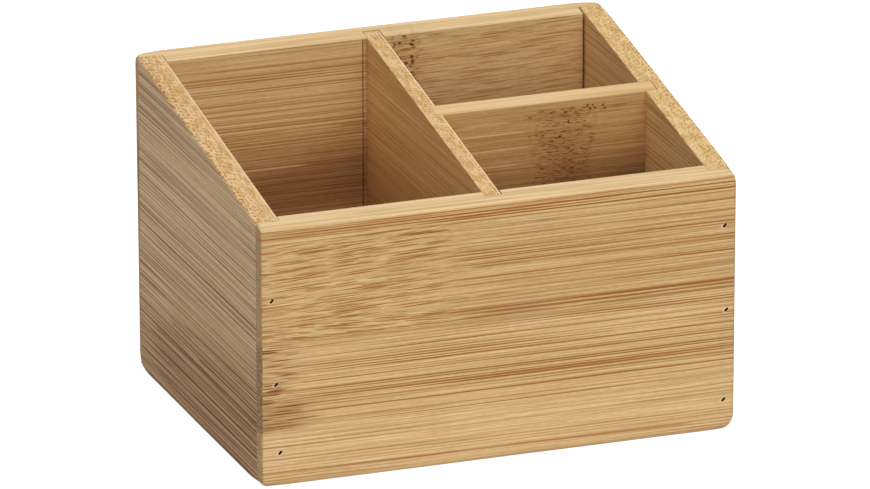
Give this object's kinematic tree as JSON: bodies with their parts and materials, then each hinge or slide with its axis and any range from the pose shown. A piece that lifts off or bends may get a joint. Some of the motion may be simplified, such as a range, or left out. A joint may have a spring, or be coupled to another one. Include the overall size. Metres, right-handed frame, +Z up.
{
  "type": "storage box",
  "caption": "Small open bamboo box with a sloped rim and divided inside, for standing bathroom and vanity things in.",
  "frame": {"origin": "middle of the footprint, on the surface that the box stands on", "axes": "+X to the right along the front panel, +Y from the front panel to the higher back panel, +Z up"},
  "size_m": [0.15, 0.115, 0.0998],
  "materials": {
    "wall_bamboo": "clear satin lacquer over streaked bamboo, long grain across",
    "side_bamboo": "clear satin lacquer over streaked bamboo, dotted end grain on the sloped top",
    "divider_bamboo": "clear satin lacquer over streaked bamboo",
    "bottom_bamboo": "clear satin lacquer over bamboo ply",
    "brad_steel": "dull wire, driven below the surface"
  },
  "bodies": {
    "root": {"front_panel": "wall_bamboo", "back_panel": "wall_bamboo", "left_side_panel": "side_bamboo", "right_side_panel": "side_bamboo", "centre_divider": "divider_bamboo", "cross_divider": "divider_bamboo", "bottom_panel": "bottom_bamboo", "front_left_brad_1": "brad_steel", "front_left_brad_2": "brad_steel", "front_left_brad_3": "brad_steel", "front_right_brad_1": "brad_steel", "front_right_brad_2": "brad_steel", "front_right_brad_3": "brad_steel", "back_left_brad_1": "brad_steel", "back_left_brad_2": "brad_steel", "back_left_brad_3": "brad_steel", "back_right_brad_1": "brad_steel", "back_right_brad_2": "brad_steel", "back_right_brad_3": "brad_steel"}
  },
  "joints": []
}
